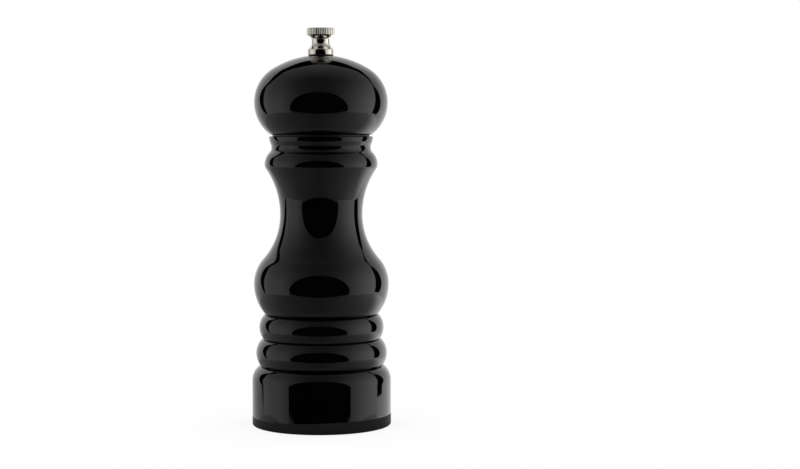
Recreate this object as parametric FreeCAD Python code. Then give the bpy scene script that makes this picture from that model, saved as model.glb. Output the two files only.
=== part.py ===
import FreeCAD, Part
import math
import os

# A hand pepper mill: a turned wooden body and domed head, a knurled nut on top that sets the grind,
# and a ceramic burr grinder in the foot that a square shaft drives from the head.
# Millimetres. The mill's axis is Z, +Z is up, and Z = 0 is the face that it stands on.
# At rest the nut is at its loosest, so the shaft hangs by its clip and the grind is the coarsest.

# Body outline, from the foot upwards
foot_radius = 30.0
foot_wall_height = 19.4
foot_shoulder_height = 6.4
foot_edge_round = 0.7
lower_groove_radius = 26.5
lower_ring_radius = 28.25
lower_ring_rise = 5.35
lower_ring_fall = 6.3
middle_groove_radius = 25.4
upper_ring_radius = 26.85
upper_ring_rise = 4.9
upper_ring_fall = 5.65
upper_groove_radius = 24.4
belly_radius = 29.1
belly_rise = 13.0
belly_shoulder_curve = 16.5
flank_height = 31.3
waist_radius = 17.75
neck_height = 20.5
bead_radius = 24.3
bead_lower_curve = 3.5
bead_upper_curve = 5.4
bead_fall = 7.2
cove_radius = 21.35
cove_upper_curve = 4.8
lip_rise = 4.0
lip_radius = 22.35
lip_wall = 0.5
lip_edge_round = 0.35
groove_fillet = 0.5

# Head outline, from its underside upwards
head_foot_radius = 21.2
head_edge_round = 0.45
head_rise = 13.45
head_radius = 28.7
head_side_curve = 17.0
head_dome_height = 20.3
spigot_length = 10.0
spigot_clearance = 0.25

# Hopper and grinder seat in the body
hopper_radius = 13.0
outlet_depth = 12.0

# Clearances that the pieces share
slip_fit = 0.1
screw_fit = 0.1
square_fit = 0.15
running_gap = 0.1
seat_gap = 0.05

# Slip washer between body and head
slip_washer_thickness = 1.0
slip_washer_inset = 1.5
slip_washer_width = 6.5

# Grinder housing
housing_radius = 19.0
housing_height = 19.0
flange_width = 4.6
flange_thickness = 2.5
retainer_height = 2.0
retainer_inner_radius = 13.8
bridge_thickness = 1.0
bridge_hub_radius = 7.0
bridge_arm_width = 5.0
bridge_arm_count = 3

# Screws that hold the housing in the foot
housing_screw_count = 3
housing_screw_radius = 1.2
housing_screw_head_radius = 2.1
housing_screw_head_height = 1.5
housing_screw_length = 10.0

# Burrs
stator_outer_radius = 16.6
stator_height = 9.0
stator_bottom_radius = 13.4
stator_top_radius = 11.0
stator_tooth_count = 26
stator_tooth_depth = 0.9
stator_tooth_lead = 16.0
rotor_bottom_radius = 12.9
rotor_top_radius = 6.8
rotor_height = 9.0
rotor_tooth_count = 18
rotor_tooth_depth = 1.3
rotor_tooth_lead = 24.0
rotor_lift_past_stator = 0.3

# Shaft
shaft_width = 5.0
shaft_corner_radius = 3.2
shaft_tip_width = 4.0
shaft_tip_corner_radius = 2.6
shaft_tip_recess = 0.2
thread_radius = 2.5
thread_length = 22.0
thread_chamfer = 0.6
grind_travel = 2.0

# Rotor hub and what clamps it to the shaft
hub_radius = 4.6
hub_flange_radius = 8.5
hub_flange_height = 2.0
hub_lug_width = 2.4
hub_lug_height = 1.2
rotor_washer_radius = 4.2
rotor_washer_thickness = 0.8
rotor_screw_radius = 1.25
rotor_screw_head_radius = 2.8
rotor_screw_head_height = 1.6
rotor_screw_length = 8.0

# Spring and what it bears on
spring_seat_radius = 6.5
spring_seat_thickness = 0.8
thrust_washer_radius = 6.0
thrust_washer_thickness = 0.8
spring_wire_radius = 0.5
spring_mean_radius = 4.6
spring_turns = 4.5
bush_flange_radius = 6.2
bush_flange_thickness = 0.8
bush_radius = 4.6
bush_stand_up = 0.6

# Clip on the shaft, above the bridge
clip_radius = 4.8
clip_thickness = 0.8
clip_groove_radius = 2.35
clip_mouth = 4.2

# Drive plate in the head
plate_radius = 10.5
plate_thickness = 2.0
plate_screw_count = 2
plate_screw_circle = 7.2
plate_screw_radius = 1.2
plate_screw_head_radius = 2.1
plate_screw_head_height = 1.4
plate_screw_length = 9.0
shaft_hole_clearance = 0.4

# Nut
nut_collar_radius = 5.6
nut_collar_height = 2.5
nut_shoulder_radius = 4.9
nut_shoulder_height = 1.1
nut_waist_radius = 3.85
nut_flare_height = 1.5
nut_waist_height = 2.0
nut_cone_height = 2.2
nut_rim_radius = 6.03
nut_rim_height = 2.5
nut_rim_chamfer = 0.25
nut_crown_height = 0.2
nut_bore_depth = 9.6
thread_reach_in_nut = 6.6
knurl_count = 44
knurl_depth = 0.32

# Cross recess of every screw
recess_length_share = 1.3
recess_width_share = 0.34
recess_depth_share = 0.6

# Heights and radii that follow from the sizes above
lower_groove_z = foot_wall_height + foot_shoulder_height
lower_ring_z = lower_groove_z + lower_ring_rise
middle_groove_z = lower_ring_z + lower_ring_fall
upper_ring_z = middle_groove_z + upper_ring_rise
upper_groove_z = upper_ring_z + upper_ring_fall
belly_z = upper_groove_z + belly_rise
waist_z = belly_z + flank_height
bead_z = waist_z + neck_height
cove_z = bead_z + bead_fall
lip_z = cove_z + lip_rise
body_top = lip_z + lip_wall

flange_radius = housing_radius + flange_width
housing_screw_circle = housing_radius + flange_width / 2
flange_bottom = outlet_depth - flange_thickness
housing_top = outlet_depth + housing_height
hopper_floor = housing_top + bridge_thickness
stator_bottom = flange_bottom + retainer_height
stator_top = stator_bottom + stator_height
rotor_bottom = stator_bottom + rotor_lift_past_stator - grind_travel
rotor_top = rotor_bottom + rotor_height
hub_bottom = rotor_bottom - hub_flange_height
spring_seat_top = rotor_top + spring_seat_thickness
bush_top = hopper_floor + bush_stand_up
bush_bottom = housing_top - bush_flange_thickness
thrust_washer_top = bush_bottom - seat_gap
thrust_washer_bottom = thrust_washer_top - thrust_washer_thickness
clip_bottom = bush_top + seat_gap

head_bottom = body_top + slip_washer_thickness + seat_gap
head_crest_z = head_bottom + head_rise
head_apex_z = head_crest_z + head_dome_height
spigot_bottom = head_bottom - spigot_length
spigot_radius = hopper_radius - spigot_clearance
plate_top = spigot_bottom + plate_thickness
shaft_hole_radius = max(shaft_corner_radius, thread_radius) + shaft_hole_clearance

# The head's dome is one arc over the axis, tangent to a tighter arc on each side
head_side_centre_radius = head_radius - head_side_curve
head_top_curve = (
    (head_side_centre_radius**2 + head_dome_height**2 - head_side_curve**2)
    / (2 * (head_dome_height - head_side_curve))
)
nut_seat_radius = nut_collar_radius + running_gap
head_top = head_apex_z - head_top_curve + math.sqrt(head_top_curve**2 - nut_seat_radius**2)
nut_bottom = head_top + seat_gap
shaft_top = nut_bottom + thread_reach_in_nut
shaft_bottom = hub_bottom + shaft_tip_recess

axis_up = FreeCAD.Vector(0, 0, 1)
origin = FreeCAD.Vector(0, 0, 0)
full_turn = 360.0


def at(r, z):
    return FreeCAD.Vector(r, 0, z)


class Outline:
    # Half of a turned piece's section, drawn with radius along X and height along Z

    def __init__(self, r, z):
        self.start = at(r, z)
        self.here = self.start
        self.edges = []

    def line(self, r, z):
        end = at(r, z)
        self.edges.append(Part.LineSegment(self.here, end).toShape())
        self.here = end
        return self

    def about(self, centre_r, centre_z, r, z):
        # Arc about a centre, the short way round, to r and z
        centre = at(centre_r, centre_z)
        end = at(r, z)
        radius = (self.here - centre).Length
        middle = (self.here + end) * 0.5 - centre
        middle.normalize()
        self.edges.append(Part.Arc(self.here, centre + middle * radius, end).toShape())
        self.here = end
        return self

    def leave_upright(self, r, z):
        # Arc that starts parallel to the axis
        across = r - self.here.x
        along = z - self.here.z
        radius = (across**2 + along**2) / (2 * across)
        return self.about(self.here.x + radius, self.here.z, r, z)

    def arrive_upright(self, r, z):
        # Arc that ends parallel to the axis
        across = self.here.x - r
        along = self.here.z - z
        radius = (across**2 + along**2) / (2 * across)
        return self.about(r + radius, z, r, z)

    def ogee(self, r, z, first_curve):
        # Two tangent arcs, parallel to the axis at both ends
        across = r - self.here.x
        along = z - self.here.z
        turn = 2 * math.atan2(abs(across), abs(along))
        middle_r = self.here.x + math.copysign(first_curve * (1 - math.cos(turn)), across)
        middle_z = self.here.z + math.copysign(first_curve * math.sin(turn), along)
        return self.leave_upright(middle_r, middle_z).arrive_upright(r, z)

    def turned(self):
        self.line(self.start.x, self.start.z)
        return Part.Face(Part.Wire(self.edges)).revolve(origin, axis_up, full_turn)


def rod(radius, bottom, top):
    return Part.makeCylinder(radius, top - bottom, at(0, bottom))


def tube(outer_radius, inner_radius, bottom, top):
    return rod(outer_radius, bottom, top).cut(rod(inner_radius, bottom, top))


def square_bar(width, bottom, top):
    corner = FreeCAD.Vector(-width / 2, -width / 2, bottom)
    return Part.makeBox(width, width, top - bottom, corner)


def round_cornered_bar(width, corner_radius, bottom, top):
    return square_bar(width, bottom, top).common(rod(corner_radius, bottom, top))


def around(shape, count, start_angle=0.0):
    copies = []
    for index in range(count):
        copy = shape.copy()
        copy.rotate(origin, axis_up, start_angle + index * full_turn / count)
        copies.append(copy)
    return copies


def circle_edges(solid, radius, z):
    # The round edges of a turned solid at one radius and height
    tolerance = 1e-4
    found = []
    for edge in solid.Edges:
        curve = edge.Curve
        if not isinstance(curve, Part.Circle):
            continue
        if abs(curve.Radius - radius) < tolerance and abs(curve.Center.z - z) < tolerance:
            found.append(edge)
    return found


def pan_screw(radius, head_radius, head_height, length, seat_z):
    # Screw that points up, its domed head hanging below seat_z, with a cross recess
    crown = seat_z - head_height
    edge_round = head_height / 2
    outline = Outline(0, crown).line(head_radius - edge_round, crown)
    outline.about(head_radius - edge_round, crown + edge_round, head_radius, crown + edge_round)
    outline.line(head_radius, seat_z).line(radius, seat_z)
    screw = outline.line(radius, seat_z + length - radius).line(0, seat_z + length).turned()
    slot_length = head_radius * recess_length_share
    slot_width = head_radius * recess_width_share
    slot_depth = head_height * recess_depth_share
    slots = []
    for size_x, size_y in ((slot_length, slot_width), (slot_width, slot_length)):
        corner = FreeCAD.Vector(-size_x / 2, -size_y / 2, crown)
        slots.append(Part.makeBox(size_x, size_y, slot_depth, corner))
    return screw.cut(slots)


def tooth_groove(bottom_radius, bottom_z, top_radius, top_z, depth, width, lead, outward):
    # Vee groove along a cone, leaning round the axis by lead degrees from bottom to top
    side = 1 if outward else -1
    clear_of_surface = 1.0
    ends = []
    for radius, z, angle in ((bottom_radius, bottom_z, 0.0), (top_radius, top_z, lead)):
        root = FreeCAD.Vector(radius + side * depth, 0, z)
        mouth_radius = radius - side * clear_of_surface
        half_mouth = width / 2 * (1 + clear_of_surface / depth)
        left = FreeCAD.Vector(mouth_radius, -half_mouth, z)
        right = FreeCAD.Vector(mouth_radius, half_mouth, z)
        wire = Part.makePolygon([root, left, right, root])
        wire.rotate(origin, axis_up, angle)
        ends.append(wire)
    return Part.makeLoft(ends, True, True)


def cone_radius(bottom_radius, bottom_z, top_radius, top_z, z):
    return bottom_radius + (top_radius - bottom_radius) * (z - bottom_z) / (top_z - bottom_z)


# Wooden pieces


def make_body_shell():
    flange_recess = flange_radius + slip_fit
    housing_seat = housing_radius + slip_fit
    outline = Outline(flange_recess, 0).line(foot_radius - foot_edge_round, 0)
    outline.about(foot_radius - foot_edge_round, foot_edge_round, foot_radius, foot_edge_round)
    outline.line(foot_radius, foot_wall_height)
    outline.leave_upright(lower_groove_radius, lower_groove_z)
    outline.arrive_upright(lower_ring_radius, lower_ring_z)
    outline.leave_upright(middle_groove_radius, middle_groove_z)
    outline.arrive_upright(upper_ring_radius, upper_ring_z)
    outline.leave_upright(upper_groove_radius, upper_groove_z)
    outline.arrive_upright(belly_radius, belly_z)
    outline.ogee(waist_radius, waist_z, belly_shoulder_curve)
    neck_turn = 2 * math.atan2(bead_radius - waist_radius, neck_height)
    neck_curve = neck_height / math.sin(neck_turn) - bead_lower_curve
    outline.ogee(bead_radius, bead_z, neck_curve)
    outline.ogee(cove_radius, cove_z, bead_upper_curve)
    outline.ogee(lip_radius, lip_z, cove_upper_curve).line(lip_radius, body_top)
    outline.line(hopper_radius, body_top).line(hopper_radius, hopper_floor)
    outline.line(housing_seat, hopper_floor).line(housing_seat, outlet_depth)
    outline.line(flange_recess, outlet_depth)
    shell = outline.turned()
    grooves = []
    for radius, z in (
        (lower_groove_radius, lower_groove_z),
        (middle_groove_radius, middle_groove_z),
        (upper_groove_radius, upper_groove_z),
    ):
        grooves += circle_edges(shell, radius, z)
    shell = shell.makeFillet(groove_fillet, grooves)
    shell = shell.makeFillet(lip_edge_round, circle_edges(shell, lip_radius, body_top))
    pilot_depth = housing_screw_length - flange_thickness + running_gap
    pilot = rod(housing_screw_radius + screw_fit, outlet_depth, outlet_depth + pilot_depth)
    pilot.translate(at(housing_screw_circle, 0))
    return shell.cut(around(pilot, housing_screw_count))


def make_head_knob():
    top_centre_z = head_apex_z - head_top_curve
    side_direction = math.atan2(head_crest_z - top_centre_z, head_side_centre_radius)
    join_r = head_top_curve * math.cos(side_direction)
    join_z = top_centre_z + head_top_curve * math.sin(side_direction)
    outline = Outline(shaft_hole_radius, spigot_bottom).line(spigot_radius, spigot_bottom)
    outline.line(spigot_radius, head_bottom).line(head_foot_radius, head_bottom)
    outline.arrive_upright(head_radius, head_crest_z)
    outline.about(head_side_centre_radius, head_crest_z, join_r, join_z)
    outline.about(0, top_centre_z, nut_seat_radius, head_top)
    knob = outline.line(shaft_hole_radius, head_top).turned()
    knob = knob.makeFillet(head_edge_round, circle_edges(knob, head_foot_radius, head_bottom))
    plate_recess = rod(plate_radius + slip_fit, spigot_bottom, plate_top)
    pilot_depth = plate_screw_length - plate_thickness + running_gap
    pilot = rod(plate_screw_radius + screw_fit, plate_top, plate_top + pilot_depth)
    pilot.translate(at(plate_screw_circle, 0))
    return knob.cut([plate_recess] + around(pilot, plate_screw_count))


# Pieces fixed in the body


def make_slip_washer():
    outer_radius = lip_radius - slip_washer_inset
    inner_radius = outer_radius - slip_washer_width
    return tube(outer_radius, inner_radius, body_top, body_top + slip_washer_thickness)


def make_grinder_housing():
    stator_seat = stator_outer_radius + slip_fit
    outline = Outline(stator_seat, flange_bottom).line(flange_radius, flange_bottom)
    outline.line(flange_radius, outlet_depth).line(housing_radius, outlet_depth)
    outline.line(housing_radius, housing_top).line(hopper_radius, housing_top)
    outline.line(stator_top_radius, stator_top).line(stator_seat, stator_top)
    housing = outline.turned()
    hole = rod(housing_screw_radius + slip_fit, flange_bottom, outlet_depth)
    hole.translate(at(housing_screw_circle, 0))
    return housing.cut(around(hole, housing_screw_count))


def make_housing_screws():
    screw = pan_screw(
        housing_screw_radius,
        housing_screw_head_radius,
        housing_screw_head_height,
        housing_screw_length,
        flange_bottom,
    )
    screw.translate(at(housing_screw_circle, 0))
    return Part.makeCompound(around(screw, housing_screw_count))


def make_burr_retainer():
    return tube(stator_outer_radius, retainer_inner_radius, flange_bottom, stator_bottom)


def make_stator_burr():
    outline = Outline(stator_bottom_radius, stator_bottom).line(stator_outer_radius, stator_bottom)
    outline.line(stator_outer_radius, stator_top).line(stator_top_radius, stator_top)
    ring = outline.turned()
    past_end = 0.5
    low, high = stator_bottom - past_end, stator_top + past_end
    low_radius = cone_radius(stator_bottom_radius, stator_bottom, stator_top_radius, stator_top, low)
    high_radius = cone_radius(stator_bottom_radius, stator_bottom, stator_top_radius, stator_top, high)
    groove_width = math.pi * stator_top_radius / stator_tooth_count
    groove = tooth_groove(
        low_radius, low, high_radius, high, stator_tooth_depth, groove_width, stator_tooth_lead, True
    )
    return ring.cut(around(groove, stator_tooth_count))


def make_spring_bridge():
    rim_radius = housing_radius - slip_fit
    rim = tube(rim_radius, hopper_radius, housing_top, hopper_floor)
    arm_length = (hopper_radius + rim_radius) / 2
    corner = FreeCAD.Vector(0, -bridge_arm_width / 2, housing_top)
    arm = Part.makeBox(arm_length, bridge_arm_width, bridge_thickness, corner)
    hub = rod(bridge_hub_radius, housing_top, hopper_floor)
    bridge = rim.fuse([hub] + around(arm, bridge_arm_count)).removeSplitter()
    return bridge.cut(rod(bush_radius + slip_fit, housing_top, hopper_floor))


def make_bridge_bush():
    bore = shaft_corner_radius + slip_fit
    outline = Outline(bore, bush_bottom).line(bush_flange_radius, bush_bottom)
    outline.line(bush_flange_radius, housing_top).line(bush_radius, housing_top)
    return outline.line(bush_radius, bush_top).line(bore, bush_top).turned()


# Pieces that turn with the shaft but stay at the bridge


def make_thrust_washer():
    washer = rod(thrust_washer_radius, thrust_washer_bottom, thrust_washer_top)
    return washer.cut(square_bar(shaft_width + 2 * square_fit, thrust_washer_bottom, thrust_washer_top))


def helix_frame(angle, start_z, rise_per_radian):
    # A point on the spring's centre line, and the unit direction there
    point = FreeCAD.Vector(
        spring_mean_radius * math.cos(angle),
        spring_mean_radius * math.sin(angle),
        start_z + rise_per_radian * angle,
    )
    direction = FreeCAD.Vector(
        -spring_mean_radius * math.sin(angle), spring_mean_radius * math.cos(angle), rise_per_radian
    )
    direction.normalize()
    return point, direction


def arc_on_tangents(start, corner, end):
    # Arc from start to end, where the two tangents meet at corner
    chord_middle = (start + end) * 0.5
    half_chord = (end - start).Length / 2
    to_corner = corner - chord_middle
    half_turn = math.atan2(to_corner.Length, half_chord)
    to_corner.normalize()
    middle = chord_middle + to_corner * (half_chord * math.tan(half_turn / 2))
    return Part.Arc(start, middle, end).toShape()


def biarc(start, start_direction, end, end_direction):
    # Two arcs that meet smoothly and keep both end directions
    span = end - start
    both = start_direction + end_direction
    share = 4 - both.dot(both)
    reach = (-span.dot(both) + math.sqrt(span.dot(both) ** 2 + share * span.dot(span))) / share
    first_corner = start + start_direction * reach
    second_corner = end - end_direction * reach
    meeting = (first_corner + second_corner) * 0.5
    return [arc_on_tangents(start, first_corner, meeting), arc_on_tangents(meeting, second_corner, end)]


def least_gap(path):
    # Narrowest space between one turn of the wire and another, from points along its centre line
    points_per_turn = 48
    points = path.discretize(Number=round(spring_turns * points_per_turn) + 1)
    half_turn = points_per_turn // 2
    nearest = math.inf
    for index, point in enumerate(points):
        for other in points[index + half_turn:]:
            nearest = min(nearest, (other - point).Length)
    return nearest - 2 * spring_wire_radius


def make_grinder_spring():
    quarter_turn = math.pi / 2
    turns_angle = spring_turns * 2 * math.pi
    start_z = spring_seat_top + seat_gap + spring_wire_radius
    end_z = thrust_washer_bottom - seat_gap - spring_wire_radius
    rise_per_radian = (end_z - start_z) / turns_angle
    edges = []
    for step in range(round(turns_angle / quarter_turn)):
        start, start_direction = helix_frame(step * quarter_turn, start_z, rise_per_radian)
        end, end_direction = helix_frame((step + 1) * quarter_turn, start_z, rise_per_radian)
        edges += biarc(start, start_direction, end, end_direction)
    path = Part.Wire(edges)
    start, direction = helix_frame(0.0, start_z, rise_per_radian)
    section = Part.Wire(Part.makeCircle(spring_wire_radius, start, direction))
    coil = path.makePipeShell([section], True, False)
    plain_volume = math.pi * spring_wire_radius**2 * path.Length
    print("spring: least gap to itself", round(least_gap(path), 3), "mm")
    print("spring: volume over section times length", round(coil.Volume / plain_volume, 4))
    return coil


# Pieces on the shaft


def make_drive_shaft():
    shoulder_z = spring_seat_top
    thread_bottom = shaft_top - thread_length
    tip = round_cornered_bar(shaft_tip_width, shaft_tip_corner_radius, shaft_bottom, shoulder_z)
    bar = round_cornered_bar(shaft_width, shaft_corner_radius, shoulder_z, thread_bottom)
    thread = rod(thread_radius, thread_bottom, shaft_top)
    thread = thread.makeChamfer(thread_chamfer, circle_edges(thread, thread_radius, shaft_top))
    shaft = tip.fuse([bar, thread]).removeSplitter()
    groove_top = clip_bottom + clip_thickness + seat_gap
    groove = tube(2 * shaft_corner_radius, clip_groove_radius, clip_bottom - seat_gap, groove_top)
    tapped_hole = rod(rotor_screw_radius + screw_fit, shaft_bottom, shaft_bottom + rotor_screw_length)
    return shaft.cut([groove, tapped_hole])


def make_shaft_clip():
    inner_radius = clip_groove_radius + seat_gap
    clip_top = clip_bottom + clip_thickness
    mouth_width = min(clip_mouth, 2 * inner_radius - seat_gap)
    mouth_corner = FreeCAD.Vector(0, -mouth_width / 2, clip_bottom)
    mouth = Part.makeBox(clip_radius, mouth_width, clip_thickness, mouth_corner)
    return tube(clip_radius, inner_radius, clip_bottom, clip_top).cut(mouth)


def make_spring_seat():
    seat = rod(spring_seat_radius, rotor_top, spring_seat_top)
    return seat.cut(square_bar(shaft_tip_width + 2 * square_fit, rotor_top, spring_seat_top))


def hub_lugs(side_gap):
    # A bar across the hub flange that keys the rotor burr, grown by side_gap for its slot
    length = 2 * (hub_flange_radius + side_gap)
    width = hub_lug_width + 2 * side_gap
    corner = FreeCAD.Vector(-length / 2, -width / 2, rotor_bottom)
    return Part.makeBox(length, width, hub_lug_height + side_gap, corner)


def make_rotor_hub():
    flange = rod(hub_flange_radius, hub_bottom, rotor_bottom)
    barrel = rod(hub_radius, rotor_bottom, rotor_top)
    lugs = hub_lugs(0.0).common(rod(hub_flange_radius, hub_bottom, rotor_top))
    hub = flange.fuse([barrel, lugs]).removeSplitter()
    return hub.cut(square_bar(shaft_tip_width + 2 * square_fit, hub_bottom, rotor_top))


def make_rotor_burr():
    bore = hub_radius + slip_fit
    outline = Outline(bore, rotor_bottom).line(rotor_bottom_radius, rotor_bottom)
    cone = outline.line(rotor_top_radius, rotor_top).line(bore, rotor_top).turned()
    past_end = 0.5
    low, high = rotor_bottom - past_end, rotor_top + past_end
    low_radius = cone_radius(rotor_bottom_radius, rotor_bottom, rotor_top_radius, rotor_top, low)
    high_radius = cone_radius(rotor_bottom_radius, rotor_bottom, rotor_top_radius, rotor_top, high)
    groove_width = math.pi * rotor_top_radius / rotor_tooth_count
    groove = tooth_groove(
        low_radius, low, high_radius, high, rotor_tooth_depth, groove_width, rotor_tooth_lead, False
    )
    return cone.cut(around(groove, rotor_tooth_count) + [hub_lugs(slip_fit)])


def make_rotor_washer():
    hole = rotor_screw_radius + slip_fit
    return tube(rotor_washer_radius, hole, hub_bottom - rotor_washer_thickness, hub_bottom)


def make_rotor_screw():
    return pan_screw(
        rotor_screw_radius,
        rotor_screw_head_radius,
        rotor_screw_head_height,
        rotor_screw_length,
        hub_bottom - rotor_washer_thickness,
    )


# Pieces fixed in the head


def make_drive_plate():
    plate = rod(plate_radius, spigot_bottom, plate_top)
    hole_width = max(shaft_width, 2 * thread_radius) + 2 * square_fit
    screw_hole = rod(plate_screw_radius + slip_fit, spigot_bottom, plate_top)
    screw_hole.translate(at(plate_screw_circle, 0))
    shaft_hole = square_bar(hole_width, spigot_bottom, plate_top)
    return plate.cut([shaft_hole] + around(screw_hole, plate_screw_count))


def make_drive_plate_screws():
    screw = pan_screw(
        plate_screw_radius,
        plate_screw_head_radius,
        plate_screw_head_height,
        plate_screw_length,
        spigot_bottom,
    )
    screw.translate(at(plate_screw_circle, 0))
    return Part.makeCompound(around(screw, plate_screw_count))


def knurled_prism(bottom, top):
    # Bar with a vee-toothed edge, as tall as the nut's rim
    points = []
    for index in range(2 * knurl_count):
        radius = nut_rim_radius if index % 2 == 0 else nut_rim_radius - knurl_depth
        angle = math.pi * index / knurl_count
        points.append(FreeCAD.Vector(radius * math.cos(angle), radius * math.sin(angle), bottom))
    points.append(points[0])
    return Part.Face(Part.makePolygon(points)).extrude(axis_up * (top - bottom))


def make_finial_nut():
    collar_top = nut_bottom + nut_collar_height
    shoulder_top = collar_top + nut_shoulder_height
    waist_bottom = shoulder_top + nut_flare_height
    waist_top = waist_bottom + nut_waist_height
    rim_bottom = waist_top + nut_cone_height
    rim_top = rim_bottom + nut_rim_height
    under_rim_radius = nut_rim_radius - nut_rim_chamfer
    bore = thread_radius + screw_fit

    stem = Outline(0, nut_bottom).line(nut_collar_radius, nut_bottom).line(nut_collar_radius, collar_top)
    stem.line(nut_shoulder_radius, shoulder_top).arrive_upright(nut_waist_radius, waist_bottom)
    stem.line(nut_waist_radius, waist_top).line(under_rim_radius, rim_bottom)
    stem = stem.line(0, rim_bottom).turned()

    rim = Outline(0, rim_bottom).line(under_rim_radius, rim_bottom)
    rim.line(nut_rim_radius, rim_bottom + nut_rim_chamfer)
    rim.line(nut_rim_radius, rim_top - nut_rim_chamfer).line(under_rim_radius, rim_top)
    crown_curve = (under_rim_radius**2 + nut_crown_height**2) / (2 * nut_crown_height)
    crown_z = rim_top + nut_crown_height
    rim.about(0, crown_z - crown_curve, 0, crown_z)
    rim = rim.turned().common(knurled_prism(rim_bottom, crown_z))

    nut = stem.fuse(rim).removeSplitter()
    return nut.cut(rod(bore, nut_bottom, nut_bottom + nut_bore_depth))


makers = {
    "body_shell": make_body_shell,
    "slip_washer": make_slip_washer,
    "grinder_housing": make_grinder_housing,
    "housing_screws": make_housing_screws,
    "burr_retainer": make_burr_retainer,
    "stator_burr": make_stator_burr,
    "spring_bridge": make_spring_bridge,
    "bridge_bush": make_bridge_bush,
    "thrust_washer": make_thrust_washer,
    "grinder_spring": make_grinder_spring,
    "drive_shaft": make_drive_shaft,
    "shaft_clip": make_shaft_clip,
    "spring_seat": make_spring_seat,
    "rotor_hub": make_rotor_hub,
    "rotor_burr": make_rotor_burr,
    "rotor_washer": make_rotor_washer,
    "rotor_screw": make_rotor_screw,
    "head_knob": make_head_knob,
    "drive_plate": make_drive_plate,
    "drive_plate_screws": make_drive_plate_screws,
    "finial_nut": make_finial_nut,
}

os.makedirs("parts", exist_ok=True)
for node, make in makers.items():
    shape = make()
    shape.exportStep(os.path.join("parts", node + ".step"))
    box = shape.BoundBox
    print(
        node,
        "solids", len(shape.Solids),
        "valid", shape.isValid(),
        "volume", round(shape.Volume, 1),
        "z", round(box.ZMin, 2), "to", round(box.ZMax, 2),
        "width", round(box.XLength, 2),
    )
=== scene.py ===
import math
import bpy
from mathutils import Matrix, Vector


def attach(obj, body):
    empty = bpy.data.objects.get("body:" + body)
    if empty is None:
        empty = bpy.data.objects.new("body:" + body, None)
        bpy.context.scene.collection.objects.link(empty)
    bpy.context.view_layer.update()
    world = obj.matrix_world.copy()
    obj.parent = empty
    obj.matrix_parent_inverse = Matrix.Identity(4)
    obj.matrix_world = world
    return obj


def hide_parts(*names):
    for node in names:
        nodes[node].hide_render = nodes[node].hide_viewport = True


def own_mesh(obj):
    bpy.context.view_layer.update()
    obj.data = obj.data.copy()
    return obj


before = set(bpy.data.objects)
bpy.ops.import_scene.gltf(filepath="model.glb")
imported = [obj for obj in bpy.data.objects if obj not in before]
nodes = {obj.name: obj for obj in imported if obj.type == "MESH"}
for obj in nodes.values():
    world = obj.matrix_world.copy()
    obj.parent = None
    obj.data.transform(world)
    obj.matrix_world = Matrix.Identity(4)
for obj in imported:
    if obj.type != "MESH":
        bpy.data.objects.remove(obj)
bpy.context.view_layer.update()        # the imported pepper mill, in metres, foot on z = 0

mm = 0.001
fullTurn = 2 * math.pi
noiseMiddle = (0.3, 0.7)    # most of a noise lies between these


# small helpers for node trees

def put(tree, kind, sockets=None, **settings):
    node = tree.nodes.new("ShaderNode" + kind)
    for key, value in settings.items():
        setattr(node, key, value)
    for key, value in (sockets or {}).items():
        node.inputs[key].default_value = value
    return node


def wire(tree, fromNode, fromSocket, toNode, toSocket):
    tree.links.new(fromNode.outputs[fromSocket], toNode.inputs[toSocket])


def startFinish(name, sockets):
    finish = bpy.data.materials.new(name)
    finish.use_nodes = True
    tree = finish.node_tree
    shader = tree.nodes["Principled BSDF"]
    for key, value in sockets.items():
        shader.inputs[key].default_value = value
    coords = put(tree, "TexCoord")
    return finish, tree, shader, coords


def stretched(tree, coords, scale):    # object coordinates, scaled per axis
    mapping = put(tree, "Mapping", {"Scale": scale})
    wire(tree, coords, "Object", mapping, "Vector")
    return mapping


def ramp(tree, stops):
    node = put(tree, "ValToRGB")
    elements = node.color_ramp.elements
    while len(elements) < len(stops):
        elements.new(0.5)
    for element, (place, colour) in zip(elements, stops):
        element.position = place
        element.color = (*colour, 1.0)
    return node


def between(tree, source, socket, low, high, toLow, toHigh):    # runs from toLow to toHigh over low..high
    node = put(tree, "MapRange", {"From Min": low, "From Max": high, "To Min": toLow, "To Max": toHigh})
    wire(tree, source, socket, node, "Value")
    return node


def noise(tree, place, socket, sockets):
    node = put(tree, "TexNoise", sockets)
    wire(tree, place, socket, node, "Vector")
    return node


def toned(tree, pattern, stops):    # a pattern turned into colours
    tone = ramp(tree, stops)
    wire(tree, pattern, "Fac", tone, "Fac")
    return tone


def roughen(tree, pattern, look, shader):    # gloss that changes a little with a pattern
    gloss = between(tree, pattern, "Fac", *noiseMiddle, look["smoothest"], look["dullest"])
    wire(tree, gloss, "Result", shader, "Roughness")


def emboss(tree, pattern, height, shader, strength=0.5):
    bump = put(tree, "Bump", {"Strength": strength, "Distance": height})
    wire(tree, pattern, "Fac", bump, "Height")
    wire(tree, bump, "Normal", shader, "Normal")


def emptyFinish(name):
    finish = bpy.data.materials.new(name)
    finish.use_nodes = True
    finish.node_tree.nodes.clear()
    return finish, finish.node_tree


# finishes

lacquerLook = dict(deep=(0.0004, 0.0004, 0.00045), lifted=(0.0011, 0.00105, 0.0011), cloudScale=55.0,
                   smoothest=0.028, dullest=0.05, hazeScale=90.0, peelScale=420.0, peelHeight=0.000004)


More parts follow.
